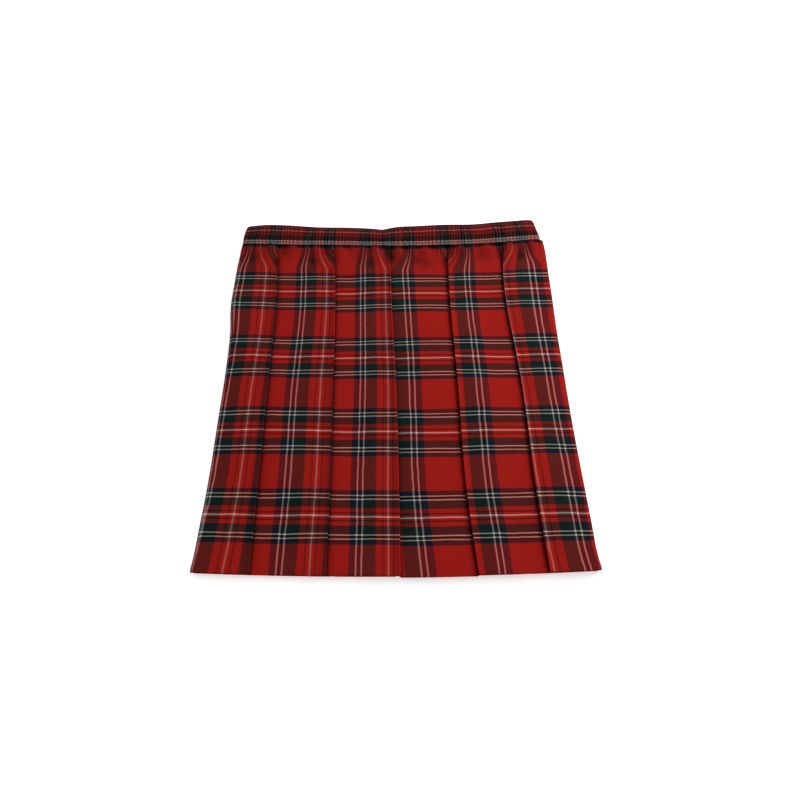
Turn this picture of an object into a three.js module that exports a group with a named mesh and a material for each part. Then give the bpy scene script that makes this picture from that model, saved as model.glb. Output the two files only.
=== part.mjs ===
import * as THREE from 'three';

// A child's tartan skirt with soft knife pleats and a gathered elastic waist, lying flat, front up.
// Sizes in millimetres. X runs across the front, Y from the hem to the waist, Z up from the surface.

// Cloth
const WALL = 1.0;              // wall of the cloth
const AIR = 0.35;              // air between two layers of a pleat
const SEAM_GAP = 0.4;          // air between the skirt and its casing
const LAYER = WALL + AIR;      // from one layer of a pleat to the next
const TURN = LAYER / 2;        // reach of the rounded turn at a fold

// Heights of the middle of the cloth
const BACK_OUT = WALL / 2;                // back faces, on the surface
const BACK_MID = BACK_OUT + LAYER;        // return layer of a back pleat
const BACK_IN = BACK_MID + LAYER;         // inner layer of a back pleat
const FRONT_IN = BACK_IN + LAYER;         // front face, where it comes out from a pleat
const FRONT_MID = FRONT_IN + LAYER;       // return layer of a front pleat
const FRONT_OUT = FRONT_MID + LAYER;      // front face, over its own pleat

// Shape along a face
const RAMP_FOOT = 6.0;         // from the inner fold to where the face starts to rise
const RAMP_HEAD = 1.5;         // from the inner fold to where it is up
const EMERGE = 1.5;            // from a fold edge to the first point of the next face
const SEAM_TUCK = 0.9;         // from the inner fold to the cut ends at the middle seam
const SIDE_REACH = 2.2;        // reach of the soft fold at each side edge
const BACK_HEM_LIFT = 4.0;     // the back hem stops short of the front one

// Puckers that run down from the casing on each front face
const PUCKER_HEIGHT = 1.5;
const PUCKERS = table(['across', 'height', 'reach'], [
  [0.11, 1.00, 34],
  [0.36, 0.60, 20],
  [0.62, 0.85, 28],
  [0.88, 0.45, 16],
]);

// Rows of the cloth, hem to casing: height of the middle, half the rise from left to right, rise of
// both sides over the middle, the two side edges, share of the pleat depth, pull of the casing line
const ROWS = table(['y', 'tilt', 'sag', 'left', 'right', 'depth', 'pull'], [
  [-204.9, 1.0, 4.0, -133.7, 135.4, 1.00, 0.00],
  [-190.0, 0.8, 3.4, -132.9, 134.0, 1.00, 0.00],
  [-166.0, 0.6, 2.8, -132.2, 132.5, 1.00, 0.00],
  [-128.0, 0.5, 2.3, -131.2, 129.6, 1.00, 0.00],
  [-60.0, 0.8, 2.3, -131.2, 128.7, 1.00, 0.00],
  [10.0, 1.2, 2.6, -131.5, 128.7, 1.00, 0.00],
  [46.0, 1.6, 3.0, -132.6, 129.0, 1.00, 0.00],
  [81.0, 1.9, 3.4, -135.7, 129.5, 1.00, 0.00],
  [110.0, 2.1, 3.6, -135.7, 129.5, 0.98, 0.10],
  [128.0, 2.3, 3.8, -135.6, 129.4, 0.90, 0.35],
  [142.0, 2.4, 4.0, -135.2, 129.0, 0.70, 0.62],
  [152.0, 2.5, 4.4, -134.7, 128.4, 0.48, 0.82],
  [159.0, 2.6, 5.0, -134.3, 127.8, 0.32, 0.95],
  [163.8, 2.7, 5.5, -134.0, 127.2, 0.22, 1.00],
]);

// Waist line: the casing's top and bottom edge across the front
const WAIST = table(['x', 'top', 'bottom'], [
  [-136, 194.6, 167.4],
  [-115, 198.2, 166.2],
  [-95, 197.6, 165.6],
  [-70, 194.9, 165.3],
  [-40, 194.2, 164.8],
  [-20, 192.4, 164.3],
  [-11, 191.0, 164.0],
  [-5, 194.2, 163.9],
  [20, 197.0, 164.3],
  [45, 198.8, 165.4],
  [68, 199.2, 166.8],
  [90, 202.6, 169.0],
  [105, 204.6, 171.0],
  [118, 205.8, 172.8],
  [128, 203.4, 174.0],
]);

// Pleats: the side that each fold edge faces, its depth, and its place at five heights
const FOLD_Y = [165, 120, -25, -128, -205];
const FRONT_FOLDS = folds([
  [1, 16.2, -98.0, -100.2, -97.2, -95.7, -95.0],
  [1, 17.2, -50.0, -51.8, -47.5, -45.6, -44.8],
  [1, 17.0, -6.0, -4.6, 0.4, 2.6, 3.6],
  [-1, 17.0, 43.1, 44.3, 47.5, 49.5, 54.5],
  [-1, 16.5, 89.1, 90.7, 96.4, 97.7, 100.9],
]);
const BACK_FOLDS = folds([
  [1, 16.5, -85.0, -87.5, -88.0, -88.5, -89.5],
  [1, 16.5, -43.0, -44.0, -44.0, -44.5, -45.0],
  [1, 16.5, -1.0, -0.5, 0.0, 0.0, 0.5],
  [-1, 16.5, 41.0, 43.0, 44.0, 44.5, 45.5],
  [-1, 16.5, 82.0, 85.5, 88.0, 88.5, 90.0],
]);

// Casing round the elastic
const CASING_SLIT = 0.6;       // air between its front and back half
const CASING_INNER_FRONT = 4.4;
const CASING_INNER_BACK = CASING_INNER_FRONT - CASING_SLIT;
const CASING_SIDE_WALL = 3.6;
const CASING_SHOULDER = 3.0;   // reach of the rounded side edges
const CASING_BACK_DROP = 1.5;  // the back half's top edge stays behind the front's
const GATHERS = 54;            // gathers across the front half
const GATHER_HEIGHT = 0.8;
const BACK_STATIONS = 12;      // the back half rests flat
// Outline of a casing half from its stitched edge to its top fold: share of the height, front
// height, lift of the back half from the surface, share of the gather height
const CASING_RINGS = table(['up', 'front', 'lift', 'gather'], [
  [0.00, 6.4, 0.9, 0.7],
  [0.12, 7.4, 0.0, 1.0],
  [0.50, 8.0, 0.0, 0.9],
  [0.88, 7.4, 0.0, 1.0],
  [1.00, 6.2, 1.2, 0.6],
]);
const CASING_EDGE = table(['y', 'left', 'right'], [
  [167, -134.0, 127.0],
  [183, -133.6, 125.6],
  [196, -132.7, 123.4],
  [205, -132.4, 122.6],
]);

// Rows of numbers become records with the named columns
function table(columns, rows) {
  return rows.map((row) => Object.fromEntries(columns.map((name, i) => [name, row[i]])));
}

function folds(rows) {
  return rows.map(([faces, depth, ...places]) => ({ faces, depth, places }));
}

// Straight-line reading of a list of values against rising or falling stations
function reading(stations, values, at) {
  const rising = stations[stations.length - 1] > stations[0];
  let i = 0;
  while (i < stations.length - 2 && (rising ? at > stations[i + 1] : at < stations[i + 1])) i += 1;
  const share = (at - stations[i]) / (stations[i + 1] - stations[i]);
  return values[i] + (values[i + 1] - values[i]) * Math.min(1, Math.max(0, share));
}

function column(rows, key, name, at) {
  return reading(rows.map((row) => row[key]), rows.map((row) => row[name]), at);
}

// Height on the cloth of a point at x in a row
function cloth_y(row, x) {
  const middle = (row.left + row.right) / 2;
  const s = (x - middle) / ((row.right - row.left) / 2);
  const free = row.y + row.tilt * s + row.sag * s * s;
  const pulled = row.y - ROWS[ROWS.length - 1].y + column(WAIST, 'x', 'bottom', x) - SEAM_GAP;
  return free + (pulled - free) * row.pull;
}

// Middle line of the cloth in one row, once round from the seam in the middle pleat
function cloth_line(row) {
  const line = [];
  const put = (x, z) => line.push([x, z]);
  const turn = (x, from, to, facing) => {
    put(x - facing * TURN, from);
    put(x, (from + to) / 2);
    put(x - facing * TURN, to);
  };
  const at = (fold) => reading(FOLD_Y, fold.places, row.y);
  const to_casing = ROWS[ROWS.length - 1].y - row.y;

  // a front face between two places, flat but for its puckers
  const face = (from, to, first) => {
    put(from, FRONT_IN);
    PUCKERS.forEach((_, k) => {
      const pucker = PUCKERS[(k + first) % PUCKERS.length];
      const share = PUCKERS[k].across;
      const up = PUCKER_HEIGHT * pucker.height * Math.max(0, 1 - to_casing / pucker.reach);
      put(from + (to - from) * share, FRONT_IN + up);
      if (k < PUCKERS.length - 1) {
        const dip = (share + PUCKERS[k + 1].across) / 2;
        put(from + (to - from) * dip, FRONT_IN);
      }
    });
    put(to, FRONT_IN);
  };

  const depth = (fold) => fold.depth * row.depth;
  const left_folds = FRONT_FOLDS.filter((fold) => fold.faces > 0).reverse();
  const right_folds = FRONT_FOLDS.filter((fold) => fold.faces < 0).reverse();
  const seam = at(left_folds[0]) - depth(left_folds[0]) + SEAM_TUCK;

  // left half of the front, from the middle to the left edge
  put(seam, FRONT_MID);
  left_folds.forEach((fold, i) => {
    const edge = at(fold);
    const inner = edge - depth(fold);
    if (i > 0) turn(inner, FRONT_IN, FRONT_MID, -1);
    turn(edge, FRONT_MID, FRONT_OUT, 1);
    put(inner - RAMP_HEAD, FRONT_OUT);
    const next = left_folds[i + 1];
    face(inner - RAMP_FOOT, next ? at(next) + EMERGE : row.left + WALL / 2 + 2 * SIDE_REACH, i);
  });

  // left side edge
  const side = (edge, inward, from, to) => {
    const middle = (from + to) / 2;
    const half = (to - from) / 2;
    put(edge + inward * (WALL / 2 + SIDE_REACH), from);
    put(edge + inward * (WALL / 2 + 0.25 * SIDE_REACH), middle - 0.7 * half);
    put(edge + inward * WALL / 2, middle);
    put(edge + inward * (WALL / 2 + 0.25 * SIDE_REACH), middle + 0.7 * half);
    put(edge + inward * (WALL / 2 + SIDE_REACH), to);
  };
  side(row.left, 1, FRONT_IN, BACK_OUT);

  // back, left to right
  BACK_FOLDS.forEach((fold) => {
    const edge = at(fold);
    const inner = edge - fold.faces * depth(fold);
    if (fold.faces > 0) {
      turn(edge, BACK_OUT, BACK_MID, 1);
      turn(inner, BACK_MID, BACK_IN, -1);
      put(edge + RAMP_HEAD, BACK_IN);
      put(edge + RAMP_FOOT, BACK_OUT);
    } else {
      put(edge - RAMP_FOOT, BACK_OUT);
      put(edge - RAMP_HEAD, BACK_IN);
      turn(inner, BACK_IN, BACK_MID, 1);
      turn(edge, BACK_MID, BACK_OUT, -1);
    }
  });
  side(row.right, -1, BACK_OUT, FRONT_IN);

  // right half of the front, from the right edge to the middle
  right_folds.forEach((fold, i) => {
    const edge = at(fold);
    const inner = edge + depth(fold);
    const before = right_folds[i - 1];
    const from = before ? at(before) - EMERGE : row.right - WALL / 2 - 2 * SIDE_REACH;
    face(from, inner + RAMP_FOOT, i + 1);
    put(inner + RAMP_HEAD, FRONT_OUT);
    turn(edge, FRONT_OUT, FRONT_MID, -1);
    turn(inner, FRONT_MID, FRONT_IN, 1);
  });
  const last = right_folds[right_folds.length - 1];
  face(at(last) - EMERGE, at(left_folds[0]) + EMERGE, 3);
  put(seam, FRONT_IN);
  return line;
}

// Both sides of a line, half a wall away, with mitred corners
function both_sides(line) {
  const unit = (a, b) => {
    const length = Math.hypot(b[0] - a[0], b[1] - a[1]);
    return [-(b[1] - a[1]) / length, (b[0] - a[0]) / length];
  };
  return line.map((p, i) => {
    const before = unit(line[Math.max(0, i - 1)], line[Math.max(1, i)]);
    const after = unit(line[Math.min(line.length - 2, i)], line[Math.min(line.length - 1, i + 1)]);
    const shrink = 1 + before[0] * after[0] + before[1] * after[1];
    const mitre = [(before[0] + after[0]) / shrink, (before[1] + after[1]) / shrink];
    return [1, -1].map((sign) => p.map((v, k) => v + sign * mitre[k] * WALL / 2));
  });
}

// A closed loop of points per row, skinned from row to row
function skin(rows, closed_rows) {
  const count = rows[0].length;
  const position = rows.flat(2);
  const index = [];
  const steps = closed_rows ? rows.length : rows.length - 1;
  for (let j = 0; j < steps; j += 1) {
    const next = (j + 1) % rows.length;
    for (let i = 0; i < count; i += 1) {
      const k = (i + 1) % count;
      const [a, b, c, d] = [j * count + i, j * count + k, next * count + k, next * count + i];
      index.push(a, b, c, a, c, d);
    }
  }
  return { position, index, count };
}

// A flat strip of wall closes each end: the loop runs out on one side and home on the other
function close_ends(body, row_count) {
  const half = body.count / 2;
  [0, row_count - 1].forEach((j) => {
    for (let i = 0; i < half - 1; i += 1) {
      const a = j * body.count + i;
      const b = a + 1;
      const c = j * body.count + body.count - 2 - i;
      const d = c + 1;
      if (j === 0) body.index.push(a, c, b, a, d, c);
      else body.index.push(a, b, c, a, c, d);
    }
  });
}

function solid(name, body, material) {
  const geometry = new THREE.BufferGeometry();
  let volume = 0;
  const p = body.position;
  for (let t = 0; t < body.index.length; t += 3) {
    const [a, b, c] = [0, 1, 2].map((k) => new THREE.Vector3().fromArray(p, 3 * body.index[t + k]));
    volume += a.dot(b.cross(c));
  }
  if (volume < 0) body.index.reverse();
  geometry.setAttribute('position', new THREE.Float32BufferAttribute(p, 3));
  geometry.setIndex(body.index);
  geometry.computeVertexNormals();
  const mesh = new THREE.Mesh(geometry, material);
  mesh.name = name;
  return mesh;
}

function skirt_body() {
  const top = BACK_IN + WALL / 2;
  const rows = ROWS.map((row, j) => {
    const place = ([x, z]) => {
      const behind = j === 0 ? Math.min(1, Math.max(0, (FRONT_IN - z) / (FRONT_IN - top))) : 0;
      return [x, cloth_y(row, x) + BACK_HEM_LIFT * behind, z];
    };
    const sides = both_sides(cloth_line(row));
    return [...sides.map((pair) => place(pair[0])), ...sides.map((pair) => place(pair[1])).reverse()];
  });
  const body = skin(rows, false);
  close_ends(body, rows.length);
  return body;
}

// One ring of the casing: front left to right, right edge, back right to left, left edge
function casing_ring(ring, inner) {
  const columns = 2 * GATHERS;
  const y_at = (x, back) => {
    const low = column(WAIST, 'x', 'bottom', x);
    const high = column(WAIST, 'x', 'top', x) - (back ? CASING_BACK_DROP : 0);
    return low + (high - low) * ring.up;
  };
  const left = column(CASING_EDGE, 'y', 'left', y_at(-130, false)) + (inner ? CASING_SIDE_WALL : 0);
  const right = column(CASING_EDGE, 'y', 'right', y_at(122, false)) - (inner ? CASING_SIDE_WALL : 0);
  const shoulder = inner ? 0.4 : CASING_SHOULDER;
  const front = inner ? CASING_INNER_FRONT : ring.front;
  const back = inner ? CASING_INNER_BACK : ring.lift;
  const middle = (front + back) / 2;
  const half = (front - back) / 2;
  const points = [];
  for (let i = 0; i <= columns; i += 1) {
    const drift = 0.25 * Math.sin(1.7 * i) * Math.min(1, i, columns - i);
    const x = left + shoulder + (right - left - 2 * shoulder) * (i + drift) / columns;
    const uneven = 1 + 0.35 * Math.sin(2.3 * i) + 0.2 * Math.sin(0.9 * i);
    const up = i % 2 === 1 && !inner ? GATHER_HEIGHT * uneven * ring.gather : 0;
    points.push([x, y_at(x, false), front + up]);
  }
  const edge = (x, inward) => {
    const rim = [[0.3 * shoulder, 0.65], [0, 0], [0.3 * shoulder, -0.65]];
    return rim.map(([reach, share]) => [x + inward * reach, y_at(x, false), middle + share * half]);
  };
  points.push(...edge(right, -1));
  for (let i = BACK_STATIONS; i >= 0; i -= 1) {
    const x = left + shoulder + (right - left - 2 * shoulder) * i / BACK_STATIONS;
    points.push([x, y_at(x, true), back]);
  }
  points.push(...edge(left, 1).reverse());
  return points;
}

function waist_casing() {
  const outer = CASING_RINGS.map((ring) => casing_ring(ring, false));
  const inner = [CASING_RINGS[CASING_RINGS.length - 1], CASING_RINGS[0]];
  return skin([...outer, ...inner.map((ring) => casing_ring(ring, true))], true);
}

const tartan = new THREE.MeshStandardMaterial({ color: 0x9c1f1c, roughness: 0.9, metalness: 0 });
const gathered = new THREE.MeshStandardMaterial({ color: 0x6f1c1c, roughness: 0.9, metalness: 0 });

const skirt = new THREE.Group();
skirt.name = 'plaid_skirt';
skirt.add(solid('skirt_body', skirt_body(), tartan));
skirt.add(solid('waist_casing', waist_casing(), gathered));

// The origin is at the middle of the bottom of the box round the skirt
const box = new THREE.Box3().setFromObject(skirt);
const shift = new THREE.Vector3((box.min.x + box.max.x) / -2, (box.min.y + box.max.y) / -2, -box.min.z);
skirt.children.forEach((mesh) => mesh.geometry.translate(shift.x, shift.y, shift.z));

export default skirt;
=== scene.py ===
# %% [markdown]
# # A child's tartan skirt, laid out flat
# The real skirt is one length of tartan twill. A press folds it into soft knife pleats, one seam
# closes it to a tube, and its top edge is turned over an elastic that gathers it. This lesson
# builds the cloth as one long strip that goes once round, so that the checks run through the
# pleats as the weaver's threads do.

# %% Load the frame
import math
import bpy
import numpy as np
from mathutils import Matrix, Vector


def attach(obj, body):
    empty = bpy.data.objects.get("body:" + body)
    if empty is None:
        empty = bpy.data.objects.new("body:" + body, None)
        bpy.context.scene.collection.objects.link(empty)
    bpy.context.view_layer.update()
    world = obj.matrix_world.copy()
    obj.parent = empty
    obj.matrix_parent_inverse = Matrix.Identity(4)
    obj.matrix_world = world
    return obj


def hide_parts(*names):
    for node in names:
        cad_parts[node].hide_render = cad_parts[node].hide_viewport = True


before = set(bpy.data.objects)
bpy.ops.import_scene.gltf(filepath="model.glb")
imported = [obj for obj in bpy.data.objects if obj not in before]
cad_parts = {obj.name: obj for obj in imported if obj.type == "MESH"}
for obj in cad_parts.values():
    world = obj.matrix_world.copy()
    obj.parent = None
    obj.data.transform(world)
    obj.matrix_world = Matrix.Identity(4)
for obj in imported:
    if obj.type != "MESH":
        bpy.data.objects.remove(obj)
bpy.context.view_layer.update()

scene = bpy.context.scene
MM = 0.001                     # every table below is in millimetres
SHIFT = np.array([0.15, -0.44, 0.0])   # from the tables to the middle of the laid skirt

# %% [markdown]
# ## Camera
# A garment on a table is usually photographed from above and a little from the hem side. The
# camera comes first, because everything else is judged through it.

# %% Camera
camera = bpy.data.objects.new("camera", bpy.data.cameras.new("camera"))
scene.collection.objects.link(camera)
camera.location = (0.0035, -0.7245, 0.6262)
camera.rotation_euler = (math.radians(48.0), 0.0, 0.0)
camera.data.sensor_width = 36.0
camera.data.lens = 55.62
scene.camera = camera
scene.view_settings.view_transform = "Standard"
print("camera looks down by", round(90 - math.degrees(camera.rotation_euler.x)), "degrees")

# %% [markdown]
# ## Sizes of the cloth
# The layers of a pleat lie on each other: three at the back, three at the front. The heights
# below are those of the middle of the cloth. Each row of the big table is one level line on the
# cloth, from the hem up to the casing.

# %% Sizes
TWILL = 0.42                   # thickness of the twill
TURN = 0.36                    # reach of the rounded turn at a fold
SHALLOW = 1.2                  # depth that a pleat keeps when it has opened
HEM_TWILL, CASING_TWILL = 0.55, 0.5              # and at the turned hem and in the casing
BACK_OUT, BACK_MID, BACK_IN = 0.45, 1.17, 1.89   # heights of the back's three layers
FRONT_IN, FRONT_MID, FRONT_OUT = 5.0, 5.72, 6.44
SIDE_REACH = 2.2               # how far in from a side edge the cloth starts to turn
BACK_HEM_LIFT = 4.0            # the back's hem lies this much further up than the front's
HEM_Y, STITCH_Y = -205.4, 163.8
PATTERN_Y = -204.9             # here the checks' own height is 0
HIDDEN, BACK, SIDE = 0, 8, 9   # kinds of face; 1 to 6 are the front's faces, left to right

ROWS = np.array([   # y, tilt, sag, left, right, pull of the casing line
    [-204.9, 1.0, 4.0, -133.7, 135.4, 0.00], [-190.0, 0.8, 3.4, -132.9, 134.0, 0.00],
    [-166.0, 0.6, 2.8, -132.2, 133.4, 0.00], [-128.0, 0.5, 2.3, -131.2, 132.3, 0.00],
    [-60.0, 0.8, 2.3, -131.2, 130.5, 0.00], [10.0, 1.2, 2.6, -131.5, 129.7, 0.00],
    [46.0, 1.6, 3.0, -132.6, 129.3, 0.00], [81.0, 1.9, 3.4, -135.7, 129.5, 0.00],
    [110.0, 2.1, 3.6, -135.7, 129.5, 0.10], [128.0, 2.3, 3.8, -135.6, 129.4, 0.35],
    [142.0, 2.4, 4.0, -135.3, 129.5, 0.62], [152.0, 2.5, 4.4, -135.0, 129.4, 0.82],
    [159.0, 2.6, 5.0, -134.9, 129.2, 0.95], [163.8, 2.7, 5.5, -134.6, 128.8, 1.00]])

WAIST = np.array([  # x, top edge, stitched edge
    [-136, 193.4, 167.4], [-115, 196.8, 166.2], [-95, 196.0, 165.6], [-70, 193.2, 165.3],
    [-40, 192.4, 164.8], [-20, 190.8, 164.3], [-11, 189.6, 164.0], [-5, 192.0, 163.9],
    [20, 195.3, 164.3], [45, 197.3, 165.4], [68, 197.8, 166.8], [90, 201.2, 169.0],
    [105, 203.2, 171.0], [118, 204.6, 172.8], [128, 202.8, 174.0]])

# Fold edges at five heights: the side they face, the depth, and their places
FOLD_Y = [165, 120, -25, -128, -205]
FRONT_FOLDS = [   # the last number says how far the edge stands off the cloth under it, and how dark the painted shade in that gap is
    (1, 16.2, [-103.5, -100.2, -97.2, -95.7, -95.0], 0.7),
    (1, 17.2, [-54.6, -51.8, -47.5, -45.6, -44.8], 0.7),
    (1, 17.0, [-4.8, -4.6, 0.4, 2.6, 3.6], 0.35),
    (-1, 17.0, [45.0, 44.3, 47.5, 49.5, 54.5], 0.95),
    (-1, 16.5, [93.3, 90.7, 96.4, 97.7, 100.9], 1.15)]
BACK_FOLDS = [
    (1, 16.5, [-85.0, -87.5, -88.0, -88.5, -89.5]),
    (1, 16.5, [-43.0, -44.0, -44.0, -44.5, -45.0]),
    (1, 16.5, [-1.0, -0.5, 0.0, 0.0, 0.5]),
    (-1, 16.5, [41.0, 43.0, 44.0, 44.5, 45.5]),
    (-1, 16.5, [82.0, 85.5, 88.0, 88.5, 90.0])]


# %% [markdown]
# ## Reading a table softly
# Cloth has no corners, so a table is read along a soft curve (a cubic through its values), and
# the same helper serves every size.

# %% Helpers for tables and soft steps
def soft(stations, values, at):
    s, v = np.asarray(stations, float), np.asarray(values, float)
    if s[0] > s[-1]:
        s, v = s[::-1], v[::-1]
    slope = np.gradient(v, s)
    at = np.clip(at, s[0], s[-1])
    i = np.clip(np.searchsorted(s, at) - 1, 0, len(s) - 2)
    h = s[i + 1] - s[i]
    t = (at - s[i]) / h
    start = v[i] * (1 + 2 * t) * (1 - t) ** 2 + h * slope[i] * t * (1 - t) ** 2
    return start + v[i + 1] * t * t * (3 - 2 * t) - h * slope[i + 1] * t * t * (1 - t)


def step(low, high, at):
    t = np.clip((np.asarray(at, float) - low) / (high - low), 0, 1)
    return t * t * (3 - 2 * t)


def bump(at, middle, width):
    return np.exp(-((at - middle) / width) ** 2)


def row_facts(y):
    """Tilt, sag, left end, right end and pull of the level line at y."""
    return [float(soft(ROWS[:, 0], ROWS[:, k], y)) for k in range(1, 6)]


def stitch_line(x):
    return soft(WAIST[:, 0], WAIST[:, 2], x)


def top_edge(x):
    return soft(WAIST[:, 0], WAIST[:, 1], x)


print("stitch line at the middle:", round(float(stitch_line(0.0)), 1), "mm")

# %% [markdown]
# ## Places on the cloth
# The tartan has to know where each point of the mesh lies on the flat cloth: u runs across it
# and v up from the hem. Every face of a pleat shows a known stretch of the cloth, and the seam
# makes the pattern jump. The back shows the next stretch, folded the same way.

# %% Cloth coordinates of the folds
FACE_U = [(-20.75, 14.5), (46.9, 96.7), (131.05, 180.4), (266.1, 310.4), (344.55, 390.65),
          (423.75, 456.1)]
SEAM_U = (181.6, 231.8)        # the cloth on both sides of the seam
SETT = 85.2                    # the pattern's repeat across the cloth
ROUND = 11 * SETT              # the right half's u lies this much further round
SEAM_X = -10.2                 # where the seam meets the casing
# threads and where they end up at the waist: how far left of the middle, and x on the right
GATHER_LEFT = [(182.5, 10.2), (170.4, 16.4), (150.8, 27.0), (104.8, 56.6), (65.6, 75.9),
               (19.6, 104.5), (0.0, 117.5), (-19.6, 125.6), (-34.2, 133.8)]
GATHER_RIGHT = [(475.9, 127.0), (445.6, 110.2), (406.4, 89.1), (360.4, 61.3), (321.2, 40.2),
                (275.2, 10.9), (236.0, -7.7), (231.8, SEAM_X)]
CASING_LEFT, CASING_RIGHT = -133.8, 127.0
CASING_WIDTH = CASING_RIGHT - CASING_LEFT


def waist_places():
    """Threads, and how far round the waist each lies, from the seam to the left."""
    places = [(u, left + SEAM_X) for u, left in GATHER_LEFT]
    places += [(u - ROUND, SEAM_X - CASING_LEFT + CASING_WIDTH + CASING_RIGHT - x)
               for u, x in GATHER_RIGHT]
    return np.array(places).T


WAIST_U, WAIST_PLACES = waist_places()
WAIST_ROUND = WAIST_PLACES[-1]
ALL_U = np.linspace(SEAM_U[0], SEAM_U[1] - ROUND, 4000)
ALL_PLACES = np.interp(-ALL_U, -WAIST_U, WAIST_PLACES)


def cloth_at(place):
    """The other way round: which u lies at a place of the waist."""
    return np.interp(place, ALL_PLACES, ALL_U)


def cloth_above(x, face, left, right):
    """Which u lies straight above a point of a face, at the waist. Faces 1 to 3 are those
    left of the seam."""
    across = (x - left) / (right - left) * CASING_WIDTH
    at_waist, to_side = CASING_LEFT + across, SEAM_X - CASING_LEFT
    place = np.where(face == BACK, to_side + across,
                     to_side + CASING_WIDTH + CASING_RIGHT - at_waist)
    return cloth_at(np.where(face < 4, SEAM_X - at_waist, place))


print("waist goes round", round(float(WAIST_ROUND)), "mm, cloth",
      round(SEAM_U[0] - SEAM_U[1] + ROUND), "mm")


# %% [markdown]
# ## One level line of pleated cloth
# Seen from the hem, the cloth is a line that doubles back at each fold. The line starts at the
# seam, goes left over the front, round the left edge, along the back and home over the right
# half. Its points keep their order from row to row, so rows join to a mesh by themselves.

# %% The pleated line
WIDE, NARROW = 52, 40          # points across a front face, and across one at a side edge
IN_FOLD_SHADE = 0.8                  # painted shade deep inside a fold


def spread(n):
    return (np.arange(n) + 0.5) / n


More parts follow.
